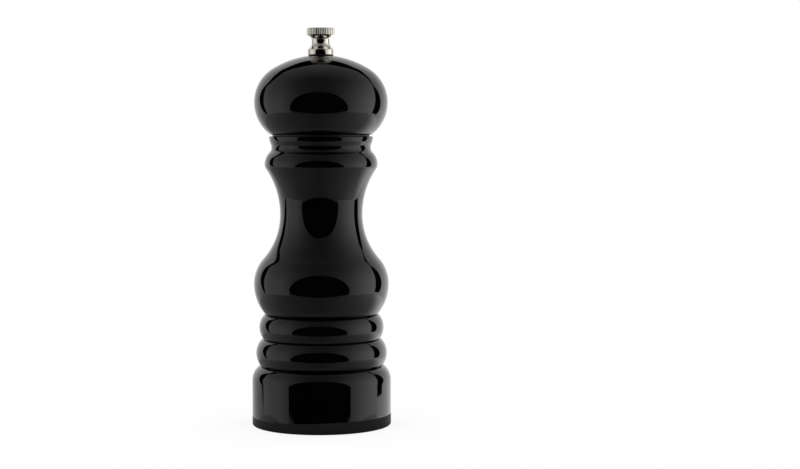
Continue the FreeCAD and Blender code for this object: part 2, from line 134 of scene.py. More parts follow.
def makeLacquer():    # black with faint clouds, a breath of haze and a trace of orange peel
    look = lacquerLook
    finish, tree, shader, coords = startFinish("blackLacquer", {"IOR": 1.5})
    cloud = noise(tree, coords, "Object", {"Scale": look["cloudScale"], "Detail": 3.0})
    tone = toned(tree, cloud, [(0.3, look["deep"]), (0.75, look["lifted"])])
    wire(tree, tone, "Color", shader, "Base Color")
    haze = noise(tree, coords, "Object", {"Scale": look["hazeScale"], "Detail": 5.0, "Roughness": 0.6})
    roughen(tree, haze, look, shader)
    peel = noise(tree, coords, "Object", {"Scale": look["peelScale"], "Detail": 1.0})
    emboss(tree, peel, look["peelHeight"], shader)
    return finish


woodLook = dict(pale=(0.60, 0.41, 0.24), dark=(0.36, 0.21, 0.105), ringScale=38.3333, ringStretch=0.12,
                fleckScale=900.0, fleckStretch=0.05, fleckShade=(0.62, 0.55, 0.5), fleckShare=0.8,
                fibreHeight=0.00004, fibreStrength=0.6)


def makeRawWood():    # rings drawn out along the grain, and short darker flecks
    look = woodLook
    finish, tree, shader, coords = startFinish("bareBeech", {"Roughness": 0.62, "IOR": 1.45})
    along = stretched(tree, coords, (1.0, 1.0, look["ringStretch"]))
    rings = put(tree, "TexWave", {"Scale": look["ringScale"], "Distortion": 5.0, "Detail": 3.0},
                wave_type="BANDS", bands_direction="X")
    wire(tree, along, "Vector", rings, "Vector")
    tone = toned(tree, rings, [(0.0, look["dark"]), (0.45, look["pale"]), (1.0, look["pale"])])
    streaks = stretched(tree, coords, (1.0, 1.0, look["fleckStretch"]))
    flecks = noise(tree, streaks, "Vector", {"Scale": look["fleckScale"], "Detail": 4.0, "Roughness": 0.7})
    fleckTone = toned(tree, flecks, [(0.38, look["fleckShade"]), (0.6, (1.0, 1.0, 1.0))])
    blend = put(tree, "Mix", {"Factor": look["fleckShare"]}, data_type="RGBA", blend_type="MULTIPLY")
    tree.links.new(tone.outputs["Color"], blend.inputs[6])    # 6, 7 and 2 are the colour sockets
    tree.links.new(fleckTone.outputs["Color"], blend.inputs[7])
    tree.links.new(blend.outputs[2], shader.inputs["Base Color"])
    emboss(tree, flecks, look["fibreHeight"], shader, look["fibreStrength"])
    return finish


metalLooks = dict(
    plated=dict(light=(0.925, 0.895, 0.82), dark=(0.835, 0.80, 0.71), smoothest=0.07, dullest=0.16,
                scale=(1.0, 1.0, 1.0), noise=500.0, height=0.000004),
    aluminium=dict(light=(0.74, 0.74, 0.75), dark=(0.60, 0.60, 0.61), smoothest=0.24, dullest=0.4,
                   scale=(1.0, 1.0, 0.01), noise=4000.0, height=0.000012),
    zincSteel=dict(light=(0.62, 0.62, 0.63), dark=(0.46, 0.46, 0.47), smoothest=0.22, dullest=0.42,
                   scale=(1.0, 1.0, 1.0), noise=1400.0, height=0.000008),
    springWire=dict(light=(0.56, 0.56, 0.58), dark=(0.40, 0.40, 0.42), smoothest=0.2, dullest=0.34,
                    scale=(1.0, 1.0, 3.0), noise=1800.0, height=0.000006),
)


def makeMetal(name):
    look = metalLooks[name]
    finish, tree, shader, coords = startFinish(name, {"Metallic": 1.0})
    place = stretched(tree, coords, look["scale"])
    grain = noise(tree, place, "Vector", {"Scale": look["noise"], "Detail": 4.0, "Roughness": 0.65})
    tone = toned(tree, grain, [(0.3, look["dark"]), (0.65, look["light"])])
    wire(tree, tone, "Color", shader, "Base Color")
    roughen(tree, grain, look, shader)
    emboss(tree, grain, look["height"], shader)
    return finish


mouldedLooks = dict(
    blackNylon=dict(light=(0.02, 0.02, 0.021), dark=(0.011, 0.011, 0.012), smoothest=0.36, dullest=0.52,
                    noise=1500.0, height=0.00002),
    whiteAcetal=dict(light=(0.80, 0.78, 0.72), dark=(0.70, 0.67, 0.60), smoothest=0.34, dullest=0.48,
                     noise=900.0, height=0.000012),
    ceramic=dict(light=(0.82, 0.81, 0.77), dark=(0.66, 0.64, 0.59), smoothest=0.4, dullest=0.62,
                 noise=1600.0, height=0.00003),
)


def makeMoulded(name):
    look = mouldedLooks[name]
    finish, tree, shader, coords = startFinish(name, {"IOR": 1.5})
    grain = noise(tree, coords, "Object", {"Scale": look["noise"], "Detail": 5.0, "Roughness": 0.7})
    tone = toned(tree, grain, [(0.35, look["dark"]), (0.6, look["light"])])
    wire(tree, tone, "Color", shader, "Base Color")
    roughen(tree, grain, look, shader)
    emboss(tree, grain, look["height"], shader)
    return finish


lacquer = makeLacquer()
rawWood = makeRawWood()
plated = makeMetal("plated")
aluminium = makeMetal("aluminium")
zincSteel = makeMetal("zincSteel")
springWire = makeMetal("springWire")
blackNylon = makeMoulded("blackNylon")
whiteAcetal = makeMoulded("whiteAcetal")
ceramic = makeMoulded("ceramic")
print("finishes ready")


# outlines of turned pieces, in mm: (radius, height)

edgeStep = 12.0       # degrees between the points of a small rounded edge
longestEase = 0.45    # how much of a straight run an eased corner may take
sameSpot = 1e-6


def arc(centre, start, end, stepDegrees=2.5):    # short way round, start left out
    first = math.atan2(start[1] - centre[1], start[0] - centre[0])
    last = math.atan2(end[1] - centre[1], end[0] - centre[0])
    turn = (last - first + math.pi) % fullTurn - math.pi
    count = max(2, math.ceil(abs(turn) / math.radians(stepDegrees)))
    radius = math.dist(start, centre)
    points = []
    for k in range(1, count + 1):
        angle = first + turn * k / count
        points.append((centre[0] + radius * math.cos(angle), centre[1] + radius * math.sin(angle)))
    return points


def uprightCentre(crest, other):    # centre of the arc that is upright at crest and passes other
    across = other[0] - crest[0]
    along = other[1] - crest[1]
    return (crest[0] + (across ** 2 + along ** 2) / (2 * across), crest[1])


def ogee(start, end, firstCurve):    # two tangent arcs, upright at both ends
    across = end[0] - start[0]
    along = end[1] - start[1]
    turn = 2 * math.atan2(abs(across), abs(along))
    middle = (start[0] + math.copysign(firstCurve * (1 - math.cos(turn)), across),
              start[1] + math.copysign(firstCurve * math.sin(turn), along))
    return arc(uprightCentre(start, middle), start, middle) + arc(uprightCentre(end, middle), middle, end)


def grooved(lowCrest, groove, highCrest, width, depth):    # two swells with a tool's vee cut between them
    lowCentre = uprightCentre(lowCrest, groove)
    highCentre = uprightCentre(highCrest, groove)
    lowRadius = math.dist(lowCentre, lowCrest)
    highRadius = math.dist(highCentre, highCrest)
    lowZ, highZ = groove[1] - width / 2, groove[1] + width / 2
    lowEdge = (lowCentre[0] + math.sqrt(lowRadius ** 2 - (lowZ - lowCentre[1]) ** 2), lowZ)
    highEdge = (highCentre[0] + math.sqrt(highRadius ** 2 - (highZ - highCentre[1]) ** 2), highZ)
    return (arc(lowCentre, lowCrest, lowEdge) + [(groove[0] - depth, groove[1]), highEdge]
            + arc(highCentre, highEdge, highCrest))


def eased(points, radius, stepDegrees=18.0):    # straight runs with their inner corners rounded
    out = [points[0]]
    for before, here, after in zip(points, points[1:], points[2:]):
        inX, inZ = here[0] - before[0], here[1] - before[1]
        outX, outZ = after[0] - here[0], after[1] - here[1]
        inLength, outLength = math.hypot(inX, inZ), math.hypot(outX, outZ)
        turn = math.atan2(inX * outZ - inZ * outX, inX * outX + inZ * outZ)
        reach = min(radius * abs(math.tan(turn / 2)), longestEase * inLength, longestEase * outLength)
        bend = reach / abs(math.tan(turn / 2))
        start = (here[0] - inX / inLength * reach, here[1] - inZ / inLength * reach)
        end = (here[0] + outX / outLength * reach, here[1] + outZ / outLength * reach)
        side = math.copysign(bend, turn)
        centre = (start[0] - inZ / inLength * side, start[1] + inX / inLength * side)
        out.append(start)
        out += arc(centre, start, end, stepDegrees)
    out.append(points[-1])
    return out


def newPiece(name, verts, faces, finishes, faceFinish=None, sharpOver=28.0):
    mesh = bpy.data.meshes.new(name)
    mesh.from_pydata([(x * mm, y * mm, z * mm) for x, y, z in verts], [], faces)
    for finish in finishes:
        mesh.materials.append(finish)
    if faceFinish:
        mesh.polygons.foreach_set("material_index", faceFinish)
    mesh.polygons.foreach_set("use_smooth", [True] * len(faces))
    mesh.update()
    mesh.validate()
    mesh.set_sharp_from_angle(angle=math.radians(sharpOver))
    piece = bpy.data.objects.new(name, mesh)
    bpy.context.scene.collection.objects.link(piece)
    return piece


def lathe(name, sections, finishes, around=192, radiusAt=None):
    # sections: [(points, finish index)], one closed outline; radiusAt may shape each ring
    outline, bandFinish = [], []
    for points, finishIndex in sections:
        for point in points:
            if outline and math.dist(point, outline[-1]) < sameSpot:
                continue
            outline.append(point)
            bandFinish.append(finishIndex)
    if math.dist(outline[0], outline[-1]) < sameSpot:
        outline.pop()
        bandFinish.pop()
    verts, faces, faceFinish, rings = [], [], [], []
    for r, z in outline:
        if r < sameSpot:
            rings.append([len(verts)])
            verts.append((0.0, 0.0, z))
            continue
        ring = []
        for k in range(around):
            angle = fullTurn * k / around
            radius = radiusAt(r, z, angle) if radiusAt else r
            ring.append(len(verts))
            verts.append((radius * math.cos(angle), radius * math.sin(angle), z))
        rings.append(ring)
    total = len(outline)
    for i in range(total):
        low, high = rings[i], rings[(i + 1) % total]
        if len(low) == 1 and len(high) == 1:
            continue
        for k in range(around):
            n = (k + 1) % around
            if len(low) == 1:
                faces.append((low[0], high[n], high[k]))
            elif len(high) == 1:
                faces.append((low[k], low[n], high[0]))
            else:
                faces.append((low[k], low[n], high[n], high[k]))
            faceFinish.append(bandFinish[(i + 1) % total])
    return newPiece(name, verts, faces, finishes, faceFinish)


def tubeFaces(rings, size):    # rings of size points, one above the other, closed at both ends
    faces = []
    for i in range(rings - 1):
        for k in range(size):
            n = (k + 1) % size
            faces.append((i * size + k, i * size + n, (i + 1) * size + n, (i + 1) * size + k))
    last = (rings - 1) * size
    faces.append(tuple(reversed(range(size))))
    faces.append(tuple(range(last, last + size)))
    return faces


# turned body

bodyShape = dict(
    footRadius=30.0, footWall=19.4, footShoulder=6.4, footEdge=0.7,
    lowerGroove=26.5, lowerRing=28.25, lowerRise=5.35, lowerFall=6.3,
    middleGroove=25.4, upperRing=26.85, upperRise=4.9, upperFall=5.65, upperGroove=24.4,
    belly=29.1, bellyRise=13.0, bellyCurve=16.5, flank=30.0, waist=17.75, neck=21.45,
    bead=24.3, beadLowCurve=3.5, beadHighCurve=7.4, beadFall=7.05, cove=21.35, coveCurve=4.8,
    lipRise=4.5, lip=22.35, lipWall=0.5, lipEdge=0.2, grooveWidth=0.6, grooveDepth=0.5,
    hopper=13.0, hopperFloor=32.0, housingSeat=19.1, flangeRecess=23.7, recessTop=12.0, boreEdge=0.35,
)


def turnBody():
    s = bodyShape
    z = s["footWall"]
    footCrest = (s["footRadius"], z)
    z += s["footShoulder"]
    lowerGroove = (s["lowerGroove"], z)
    z += s["lowerRise"]
    lowerCrest = (s["lowerRing"], z)
    z += s["lowerFall"]
    middleGroove = (s["middleGroove"], z)
    z += s["upperRise"]
    upperCrest = (s["upperRing"], z)
    z += s["upperFall"]
    upperGroove = (s["upperGroove"], z)
    z += s["bellyRise"]
    bellyCrest = (s["belly"], z)
    z += s["flank"]
    waist = (s["waist"], z)
    z += s["neck"]
    bead = (s["bead"], z)
    z += s["beadFall"]
    cove = (s["cove"], z)
    z += s["lipRise"]
    lip = (s["lip"], z)
    top = z + s["lipWall"]
    edge = s["footEdge"]
    footStart = (s["footRadius"] - edge, 0.0)
    footSide = (s["footRadius"], edge)
    outside = [footStart] + arc((footStart[0], edge), footStart, footSide, edgeStep)
    outside.append(footCrest)
    cut = (s["grooveWidth"], s["grooveDepth"])
    outside += grooved(footCrest, lowerGroove, lowerCrest, *cut)
    outside += grooved(lowerCrest, middleGroove, upperCrest, *cut)
    outside += grooved(upperCrest, upperGroove, bellyCrest, *cut)
    outside += ogee(bellyCrest, waist, s["bellyCurve"])
    neckTurn = 2 * math.atan2(s["bead"] - s["waist"], s["neck"])
    outside += ogee(waist, bead, s["neck"] / math.sin(neckTurn) - s["beadLowCurve"])
    outside += ogee(bead, cove, s["beadHighCurve"])
    outside += ogee(cove, lip, s["coveCurve"])
    lipStart = (s["lip"], top - s["lipEdge"])
    lipEnd = (s["lip"] - s["lipEdge"], top)
    outside += [lipStart] + arc((lipEnd[0], lipStart[1]), lipStart, lipEnd, edgeStep)
    outside.append((s["hopper"] + s["boreEdge"], top))    # the lacquer ends at the bore
    inside = eased([outside[-1], (s["hopper"], top), (s["hopper"], s["hopperFloor"]),
                    (s["housingSeat"], s["hopperFloor"]), (s["housingSeat"], s["recessTop"]),
                    (s["flangeRecess"], s["recessTop"]), (s["flangeRecess"], 0.0), footStart],
                   s["boreEdge"])
    body = lathe("turnedBody", [(outside, 0), (inside, 1)], [lacquer, rawWood])
    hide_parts("body_shell")
    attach(body, "mill_body")
    return body


turnedBody = turnBody()
print("body turned:", len(turnedBody.data.polygons), "faces")


# turned head

headShape = dict(
    bottom=125.55, foot=21.9, footEdge=0.25, rimDrop=0.35, rimInside=21.0, rise=13.45, crest=28.7,
    sideCurve=17.0, domeHeight=20.3, domeStep=1.2, seat=5.7, lacquerHole=4.3, hole=3.6,
    spigot=12.75, spigotLength=10.0, spigotEdge=0.4, plateRecess=10.6, plateDepth=2.0,
)


def turnHead():
    s = headShape
    bottom = s["bottom"]
    crest = (s["crest"], bottom + s["rise"])
    apex = crest[1] + s["domeHeight"]
    sideCentre = (s["crest"] - s["sideCurve"], crest[1])
    topCurve = ((sideCentre[0] ** 2 + s["domeHeight"] ** 2 - s["sideCurve"] ** 2)
                / (2 * (s["domeHeight"] - s["sideCurve"])))
    topCentre = (0.0, apex - topCurve)
    direction = math.atan2(crest[1] - topCentre[1], sideCentre[0])
    join = (topCurve * math.cos(direction), topCentre[1] + topCurve * math.sin(direction))
    seatTop = topCentre[1] + math.sqrt(topCurve ** 2 - s["seat"] ** 2)
    rimLow = bottom - s["rimDrop"]
    underCentre = uprightCentre(crest, (s["foot"], rimLow))
    underCurve = crest[0] - underCentre[0]
    edgeZ = rimLow + s["footEdge"]
    edgeR = underCentre[0] + math.sqrt((underCurve - s["footEdge"]) ** 2 - (crest[1] - edgeZ) ** 2)
    share = underCurve / (underCurve - s["footEdge"])
    edgeTouch = (underCentre[0] + (edgeR - underCentre[0]) * share,
                 underCentre[1] + (edgeZ - underCentre[1]) * share)
    lacquerEnd = (s["spigot"] + s["spigotEdge"], bottom)    # the underside is lacquered up to the spigot
    outside = [lacquerEnd, (s["rimInside"], bottom), (s["rimInside"], rimLow), (edgeR, rimLow)]
    outside += arc((edgeR, edgeZ), (edgeR, rimLow), edgeTouch, edgeStep)
    outside += arc(underCentre, edgeTouch, crest)
    outside += arc(sideCentre, crest, join)
    outside += arc(topCentre, join, (s["seat"], seatTop), s["domeStep"])
    outside.append((s["lacquerHole"], seatTop))
    spigotEnd = bottom - s["spigotLength"]
    plateTop = spigotEnd + s["plateDepth"]
    inside = eased([(s["lacquerHole"], seatTop), (s["hole"], seatTop), (s["hole"], plateTop),
                    (s["plateRecess"], plateTop), (s["plateRecess"], spigotEnd), (s["spigot"], spigotEnd),
                    (s["spigot"], bottom), lacquerEnd], s["spigotEdge"])
    head = lathe("turnedHead", [(outside, 0), (inside, 1)], [lacquer, rawWood])
    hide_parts("head_knob")
    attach(head, "head")
    return head


turnedHead = turnHead()
print("head turned:", len(turnedHead.data.polygons), "faces")


# plated nut with its knurled rim

nutShape = dict(
    bottom=158.945, collar=5.75, collarHeight=2.7, collarEdge=0.3, collarFoot=(0.3, 0.5),
    ledge=5.35, ledgeHeight=0.2, flareHeight=1.75, waist=4.0, waistHeight=1.7, cove=4.3, coveHeight=1.1,
    underHeight=1.3, hollow=2.2, hollowStep=8.0, rim=6.03, rimHeight=3.0, rimChamfer=0.25,
    crown=0.2, crownSteps=8, bore=2.6, boreDepth=9.6,
    knurls=44, knurlDepth=0.125, crestShare=0.52, crestSwell=0.06, samplesPerKnurl=12,
)


def turnNut():
    s = nutShape
    z0 = s["bottom"]
    collarTop = z0 + s["collarHeight"]
    ledgeTop = collarTop + s["ledgeHeight"]
    waistLow = ledgeTop + s["flareHeight"]
    waistHigh = waistLow + s["waistHeight"]
    coveTop = waistHigh + s["coveHeight"]
    rimLow = coveTop + s["underHeight"]
    rimHigh = rimLow + s["rimHeight"]
    chamfer = s["rimChamfer"]
    underRim = s["rim"] - chamfer
    ledge = (s["ledge"], ledgeTop)
    footInset, footHeight = s["collarFoot"]
    collar = eased([(s["bore"], z0), (s["collar"] - footInset, z0), (s["collar"], z0 + footHeight),
                    (s["collar"], collarTop), ledge], s["collarEdge"])
    stem = eased([ledge, (s["waist"], waistLow), (s["waist"], waistHigh), (s["cove"], coveTop),
                  (underRim, rimLow)], s["hollow"], s["hollowStep"])
    rim = [(s["rim"], rimLow + chamfer), (s["rim"], rimHigh - chamfer), (underRim, rimHigh)]
    crownZ = rimHigh + s["crown"]
    crownCurve = (underRim ** 2 + s["crown"] ** 2) / (2 * s["crown"])
    crown = []
    for k in range(1, s["crownSteps"] + 1):    # gently domed top, out to in
        r = underRim * (1 - k / s["crownSteps"])
        crown.append((r, crownZ - crownCurve + math.sqrt(crownCurve ** 2 - r ** 2)))
    boreTop = z0 + s["boreDepth"]
    bore = [(0.0, boreTop), (s["bore"], boreTop), (s["bore"], z0)]

    def ribbed(r, z, angle):    # ribs with slightly rounded tops and vee grooves between them
        if r < underRim - sameSpot or z < rimLow - sameSpot:
            return r
        fromGroove = abs((angle * s["knurls"] / fullTurn) % 1.0 - 0.5) * 2
        vee = max(0.0, 1 - fromGroove / (1 - s["crestShare"]))
        fall = min(1.0, (1 - fromGroove) / s["crestShare"]) ** 2
        cut = s["crestSwell"] * fall + (1 - s["crestSwell"]) * vee
        return r - s["knurlDepth"] * cut * (r - underRim + chamfer) / (2 * chamfer)

    nut = lathe("platedNut", [(collar, 0), (stem, 0), (rim, 0), (crown, 0), (bore, 0)], [plated],
                around=s["knurls"] * s["samplesPerKnurl"], radiusAt=ribbed)
    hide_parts("finial_nut")
    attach(nut, "nut")
    return nut


platedNut = turnNut()
print("nut turned:", len(platedNut.data.polygons), "faces")


# square shaft with a cut thread at its top

shaftShape = dict(
    width=5.0, corner=3.2, tipWidth=4.0, tipCorner=2.6, tipEase=0.3, bottom=8.0, tipTop=19.6, top=165.545,
    threadRadius=2.5, threadLength=22.0, pitch=0.8, threadDepth=0.46, crestHalf=0.07, flankShare=0.33,
    runOutTurns=2, shoulder=0.7, chamfer=0.6, rowsPerPitch=10, clipLow=32.6, clipHigh=33.5, clipRadius=2.35,
    flatShares=(-1.0, -0.72, -0.4, 0.0, 0.4, 0.72), cornerShares=(0.0, 0.3, 0.7),
)


def cutShaft():
    s = shaftShape
    flatEnd = math.degrees(math.acos(s["width"] / 2 / s["corner"]))
    angles = []
    for quarter in range(4):
        for share in s["flatShares"]:
            angles.append(quarter * 90 + share * flatEnd)
        for share in s["cornerShares"]:
            angles.append(quarter * 90 + flatEnd + share * (90 - 2 * flatEnd))
    angles = [math.radians(a) for a in angles]

    def bar(width, corner):
        return [min(width / 2 / max(abs(math.cos(a)), abs(math.sin(a))), corner) for a in angles]

    def pinched(radii, limit):
        return [min(r, limit) for r in radii]

    wide = bar(s["width"], s["corner"])
    tip = bar(s["tipWidth"], s["tipCorner"])
    threadLow = s["top"] - s["threadLength"]
    clipGroove = pinched(wide, s["clipRadius"])
    rows = [(s["bottom"], pinched(tip, s["tipWidth"] / 2)), (s["bottom"] + s["tipEase"], tip),
            (s["tipTop"], tip), (s["tipTop"], wide), (s["clipLow"], wide), (s["clipLow"], clipGroove),
            (s["clipHigh"], clipGroove), (s["clipHigh"], wide),
            (threadLow - s["shoulder"], wide), (threadLow, pinched(wide, s["threadRadius"]))]
    count = round(s["threadLength"] / s["pitch"] * s["rowsPerPitch"])
    for k in range(1, count + 1):
        z = threadLow + s["threadLength"] * k / count
        start = min(1.0, (z - threadLow) / (s["runOutTurns"] * s["pitch"]))    # the thread starts shallow
        limit = s["threadRadius"] - max(0.0, z - s["top"] + s["chamfer"])
        ring = []
        for a in angles:
            phase = (z / s["pitch"] - a / fullTurn) % 1.0
            flank = min(1.0, max(0.0, (abs(phase - 0.5) - s["crestHalf"]) / s["flankShare"]))
            ring.append(min(s["threadRadius"] - s["threadDepth"] * flank * start, limit))
        rows.append((z, ring))
    verts = []
    for z, ring in rows:
        verts += [(r * math.cos(a), r * math.sin(a), z) for r, a in zip(ring, angles)]
    shaft = newPiece("threadedShaft", verts, tubeFaces(len(rows), len(angles)), [aluminium])
    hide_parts("drive_shaft")
    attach(shaft, "shaft")
    return shaft


threadedShaft = cutShaft()
print("shaft cut:", len(threadedShaft.data.polygons), "faces")


# coil spring over the turning burr

springShape = dict(low=19.65, high=29.3, wire=0.5, mean=4.6, turns=4.5, stepsPerTurn=48, wireSides=14,
                   fixedEnd=29.35, travel=2.0)


def windSpring():
    s = springShape
    lowZ, highZ = s["low"] + s["wire"], s["high"] - s["wire"]
    count = round(s["turns"] * s["stepsPerTurn"])
    rise = (highZ - lowZ) / (s["turns"] * fullTurn)
    lean = math.atan2(rise, s["mean"])
    verts = []
    for i in range(count + 1):
        angle = s["turns"] * fullTurn * i / count
        outward = Vector((math.cos(angle), math.sin(angle), 0.0))
        side = Vector((math.sin(angle) * math.sin(lean), -math.cos(angle) * math.sin(lean), math.cos(lean)))
        centre = outward * s["mean"] + Vector((0.0, 0.0, lowZ + rise * angle))
        for k in range(s["wireSides"]):
            around = fullTurn * k / s["wireSides"]
            verts.append(tuple(centre + (outward * math.cos(around) + side * math.sin(around)) * s["wire"]))
    faces = [face[::-1] for face in tubeFaces(count + 1, s["wireSides"])]    # its rings turn the other way
    spring = newPiece("coilSpring", verts, faces, [springWire])
    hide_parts("grinder_spring")
    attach(spring, "spring_drive")
    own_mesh(spring)
    return spring


coilSpring = windSpring()
print("spring wound:", len(coilSpring.data.polygons), "faces")


# plain rings with eased edges

ringShapes = dict(
    slipRing=dict(node="slip_washer", body="mill_body", slot="black_nylon", finish=blackNylon,
                  outline=[(14.35, 124.5), (20.85, 124.5), (20.85, 125.5), (14.35, 125.5)], ease=0.25),
    burrKeeper=dict(node="burr_retainer", body="mill_body", slot="black_nylon", finish=blackNylon,
                    outline=[(13.8, 9.5), (16.6, 9.5), (16.6, 11.5), (13.8, 11.5)], ease=0.3),
    shaftBearing=dict(node="bridge_bush", body="mill_body", slot="white_acetal", finish=whiteAcetal,
                      outline=[(3.3, 30.2), (6.2, 30.2), (6.2, 31.0), (4.6, 31.0),
                               (4.6, 32.6), (3.3, 32.6)], ease=0.2),
    underWasher=dict(node="rotor_washer", body="shaft", slot="steel", finish=zincSteel,
                     outline=[(1.35, 7.0), (4.2, 7.0), (4.2, 7.8), (1.35, 7.8)], ease=0.15),
    grinderBarrel=dict(node="grinder_housing", body="mill_body", slot="black_nylon", finish=blackNylon,
                       outline=[(16.7, 9.5), (23.6, 9.5), (23.6, 12.0), (19.0, 12.0), (19.0, 31.0),
                                (13.0, 31.0), (11.0, 20.5), (16.7, 20.5)], ease=0.35),
)
ringSides = 128

for name, s in ringShapes.items():
    corners = s["outline"]
    middle = ((corners[0][0] + corners[1][0]) / 2, (corners[0][1] + corners[1][1]) / 2)
    outline = eased([middle] + corners[1:] + [corners[0], middle], s["ease"])    # every corner is eased
    ring = lathe(name, [(outline, 0)], [s["finish"]], around=ringSides)
    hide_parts(s["node"])
    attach(ring, s["body"])
print("rings turned:", len(ringShapes))


# finishes for the CAD nodes that stay as they are

keptNodes = dict(
    stator_burr=ceramic, rotor_burr=ceramic, rotor_hub=whiteAcetal,
    spring_bridge=zincSteel, housing_screws=zincSteel, thrust_washer=zincSteel, spring_seat=zincSteel,
    rotor_screw=zincSteel, drive_plate_screws=zincSteel, shaft_clip=springWire, drive_plate=aluminium,
)

for name, finish in keptNodes.items():
    for slot in nodes[name].material_slots:
        slot.material = finish
print("kept nodes finished:", len(keptNodes))


# studio: an oval white tent in a dark room, open in front under an arch, with a slit at each rear corner
# and a gap between its roof and its back

tentShape = dict(
    halfWidth=700.0, halfDepth=540.0, middleY=80.0, floorZ=-132.0, topZ=620.0, shoulder=200.0,
    roofEdgeY=318.0, roofEdgeLean=0.1, roofTip=0.001, backTopZ=598.0,
    archMiddle=-1.2, archHalf=37.7, archApex=372.0, archFullness=2.4, archShoulder=0.8,
    apronHalf=540.0, apronY=-440.0, steps=96, bendSteps=24, roofSteps=12,
)
# slits: height, depth where the wall ends, depth where the back starts
leftSlit = ((-132, 218, 218), (-50, 225, 300), (100, 250, 385), (270, 275, 420), (440, 325, 392),
            (520, 288, 375), (598, 262, 420))
rightSlit = ((-97, 182, 335), (0, 187, 385), (200, 220, 390), (400, 278, 372), (480, 328, 362),
             (598, 345, 430))
tentGlow = dict(    # strengths, and in metres the stretches over which they change
    left=0.70, right=1.26, leftSpread=1.45, sideChange=(-0.05, 0.05),
    frontCentre=0.125, topCentre=0.28, centreChange=(-0.2, 0.05),
    fade=((0.0, 1.0), (0.36, 1.0), (0.567, 0.83), (0.72, 0.68), (1.0, 0.51)),
    backLeft=(0.55, 0.87), backLeftChange=(-0.1, 0.1), backRight=(1.4, 0.65), backRightChange=(0.0, 0.45),
    floorCentre=0.15, floorLeft=0.45, floorRight=0.78, floorReach=0.54, floorFront=0.25,
    floorFrontChange=(-0.4, 0.0), floorRear=0.95, floorRearChange=(0.1, 0.3), floorRearSide=(0.05, 0.25),
)


def stageCard(name, rows, finish):    # a grid of points that lights the mill and shows in its gloss
    width = len(rows[0])
    verts = [(x * mm, y * mm, z * mm) for row in rows for x, y, z in row]
    faces = []
    for i in range(len(rows) - 1):
        for k in range(width - 1):
            a = i * width + k
            faces.append((a, a + 1, a + width + 1, a + width))
    mesh = bpy.data.meshes.new(name)
    mesh.from_pydata(verts, [], faces)
    mesh.materials.append(finish)
    card = bpy.data.objects.new(name, mesh)
    bpy.context.scene.collection.objects.link(card)
    card.visible_camera = False
    card.visible_shadow = False


def startGlow(name):
    finish, tree = emptyFinish(name)
    place = put(tree, "NewGeometry")
    split = put(tree, "SeparateXYZ")
    wire(tree, place, "Position", split, "Vector")
    glow = put(tree, "Emission")
    wire(tree, glow, "Emission", put(tree, "OutputMaterial"), "Surface")
    return finish, tree, split, glow


def combine(tree, operation, first, second):    # maths on two nodes, or on a node and a number
    node = put(tree, "Math", operation=operation)
    for k, source in enumerate((first, second)):
        if isinstance(source, float):
            node.inputs[k].default_value = source
        else:
            tree.links.new(source.outputs[0], node.inputs[k])
    return node


def blendValue(tree, share, low, high):    # low where share is 0, high where it is 1
    return combine(tree, "ADD", low, combine(tree, "MULTIPLY", share, combine(tree, "SUBTRACT", high, low)))


def makeWallGlow():    # dim in the middle, brighter round to the sides and lower down, most on the right
    v, s = tentGlow, tentShape
    finish, tree, split, glow = startGlow("tentWall")
    r = s["halfWidth"] * mm
    across = between(tree, split, "X", -r, r, -1.0, 1.0)
    side = between(tree, split, "X", *v["sideChange"], v["left"], v["right"])
    height = between(tree, split, "Z", s["floorZ"] * mm, s["topZ"] * mm, 0.0, 1.0)
    fade = ramp(tree, [(place, (level, level, level)) for place, level in v["fade"]])
    wire(tree, height, "Result", fade, "Fac")
    centre = between(tree, split, "Y", *v["centreChange"], v["frontCentre"], v["topCentre"])
    spreading = between(tree, split, "X", *v["sideChange"], v["leftSpread"], 1.0)
    share = combine(tree, "MULTIPLY", combine(tree, "MULTIPLY", across, across), spreading)
    share = combine(tree, "MINIMUM", share, 1.0)
    level = blendValue(tree, share, centre, combine(tree, "MULTIPLY", side, fade))
    wire(tree, level, "Value", glow, "Strength")
    return finish


def makeBackGlow():    # on the left brighter higher up, on the right brighter lower down
    v = tentGlow
    finish, tree, split, glow = startGlow("tentBack")
    r = tentShape["halfWidth"] * mm
    rightward = between(tree, split, "X", -r, r, 0.0, 1.0)
    left = between(tree, split, "Z", *v["backLeftChange"], *v["backLeft"])
    right = between(tree, split, "Z", *v["backRightChange"], *v["backRight"])
    wire(tree, blendValue(tree, rightward, left, right), "Value", glow, "Strength")
    return finish


def makeFloorGlow():    # dim in front, brighter to the sides, brightest at the right rear
    v = tentGlow
    finish, tree, split, glow = startGlow("tentFloor")
    r = v["floorReach"]
    left = between(tree, split, "X", -r, 0.0, v["floorLeft"] - v["floorCentre"], 0.0)
    right = between(tree, split, "X", 0.0, r, 0.0, v["floorRight"] - v["floorCentre"])
    rise = between(tree, split, "Y", *v["floorFrontChange"], v["floorFront"], 1.0)
    sides = combine(tree, "MULTIPLY", combine(tree, "ADD", left, right), rise)
    backward = between(tree, split, "Y", *v["floorRearChange"], 0.0, 1.0)
    rightward = between(tree, split, "X", *v["floorRearSide"], 0.0, v["floorRear"])
    rear = combine(tree, "MULTIPLY", backward, rightward)
    level = combine(tree, "ADD", combine(tree, "ADD", sides, v["floorCentre"]), rear)
    wire(tree, level, "Value", glow, "Strength")
    return finish


def spaced(low, high, steps):
    return [low + (high - low) * k / steps for k in range(steps + 1)]


def onTent(degrees, z, share=1.0):    # on the oval, drawn in to share; 0 is the front, right is positive
    s = tentShape
    a = math.radians(degrees)
    return (s["halfWidth"] * share * math.sin(a), s["middleY"] - s["halfDepth"] * share * math.cos(a), z)


def tentRow(start, end, z, share=1.0):
    return [onTent(a, z, share) for a in spaced(start, end, tentShape["steps"])]


